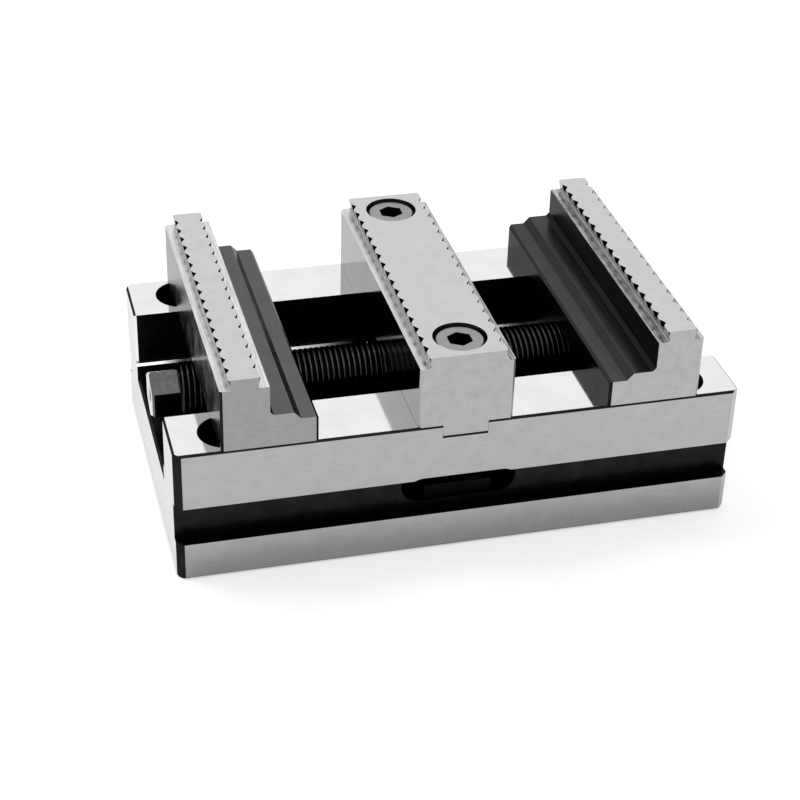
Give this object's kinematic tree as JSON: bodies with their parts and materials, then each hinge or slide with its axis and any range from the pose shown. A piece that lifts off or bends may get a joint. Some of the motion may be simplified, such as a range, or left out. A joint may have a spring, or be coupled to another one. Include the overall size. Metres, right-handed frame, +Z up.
{
  "type": "self-centering vise",
  "caption": "Compact steel vise: a screw with opposite threads draws two notched jaws towards a fixed centre jaw on a channelled base.",
  "frame": {"origin": "centre of the base's underside", "axes": "+X along the screw to the right, +Y away from the front long side, +Z up from the underside to the jaws"},
  "size_m": [0.15, 0.09, 0.0584],
  "materials": {
    "ground_steel": "fine ground hardened steel",
    "oxide_steel": "black oxide steel",
    "screw_steel": "dark tempered steel, lightly oiled",
    "bright_steel": "bright turned steel",
    "bearing_bronze": "turned bearing bronze"
  },
  "bodies": {
    "base": {"base_body": "ground_steel", "centre_jaw": "ground_steel", "centre_jaw_screws": "oxide_steel", "bearing_yoke": "oxide_steel", "bearing_cap": "oxide_steel", "bearing_cap_screws": "screw_steel", "yoke_clamp_screws": "bright_steel", "yoke_dowels": "bright_steel", "left_thrust_washers": "bearing_bronze", "right_thrust_washers": "bearing_bronze"},
    "screw": {"lead_screw": "screw_steel"},
    "left_carriage": {"left_jaw": "ground_steel", "left_slide_nut": "oxide_steel", "left_jaw_screws": "oxide_steel", "left_jaw_dowels": "bright_steel"},
    "right_carriage": {"right_jaw": "ground_steel", "right_slide_nut": "oxide_steel", "right_jaw_screws": "oxide_steel", "right_jaw_dowels": "bright_steel"}
  },
  "joints": [
    {"name": "screw_turn", "type": "hinge", "parent": "base", "child": "screw", "pos_m": [0, 0, 0.0285], "axis": [1, 0, 0], "range_deg": [-2884, 6124]},
    {"name": "left_jaw_slide", "type": "slide", "parent": "base", "child": "left_carriage", "axis": [1, 0, 0], "range_m": [-0.012, 0.0255]},
    {"name": "right_jaw_slide", "type": "slide", "parent": "base", "child": "right_carriage", "axis": [-1, 0, 0], "range_m": [-0.0121, 0.0256]}
  ],
  "couplings": [
    {"joint": "screw_turn", "follows": "left_jaw_slide", "rad_per_m": 4188.8},
    {"joint": "right_jaw_slide", "follows": "left_jaw_slide", "ratio": 1}
  ]
}
